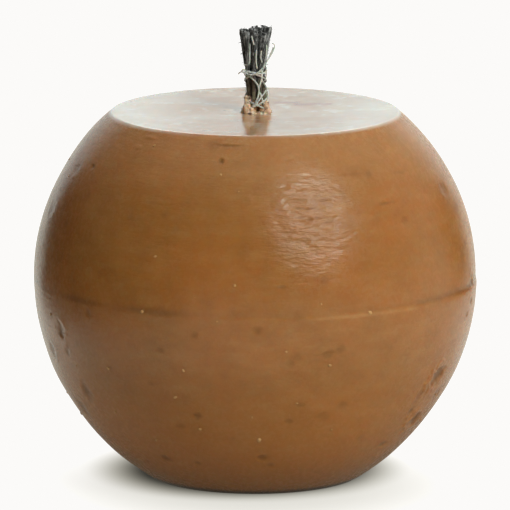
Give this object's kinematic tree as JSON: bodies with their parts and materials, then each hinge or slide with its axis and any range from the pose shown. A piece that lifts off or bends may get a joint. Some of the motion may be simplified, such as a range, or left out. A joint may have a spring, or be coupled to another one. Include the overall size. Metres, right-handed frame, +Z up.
{
  "type": "ball candle",
  "caption": "Round wax candle cast as a ball with a flat top and a flat base, and a thick cotton wick bound with thread.",
  "frame": {"origin": "centre of the flat base, on the surface that the candle stands on", "axes": "+Z up along the ball's axis and the wick; the front of the candle faces -Y, and +X is to the right of a viewer in front of it"},
  "size_m": [0.08, 0.08, 0.0822],
  "materials": {
    "wax": "satin cast wax in caramel brown, slightly translucent, with fine ripples, pits and pale specks",
    "charred_cotton": "dry cotton yarn charred dark grey, matt and frayed at the cut end",
    "pale_thread": "thin undyed cotton thread, matt and slightly fuzzy"
  },
  "bodies": {
    "root": {"wax_body": "wax", "wick_yarn_1": "charred_cotton", "wick_yarn_2": "charred_cotton", "wick_yarn_3": "charred_cotton", "wick_yarn_4": "charred_cotton", "wick_yarn_5": "charred_cotton", "wick_yarn_6": "charred_cotton", "wick_yarn_7": "charred_cotton", "wick_yarn_8": "charred_cotton", "core_yarn_1": "charred_cotton", "core_yarn_2": "charred_cotton", "core_yarn_3": "charred_cotton", "binding_thread_right": "pale_thread", "binding_thread_left": "pale_thread", "loose_thread_loop": "pale_thread", "loose_thread_stray": "pale_thread"}
  },
  "joints": []
}
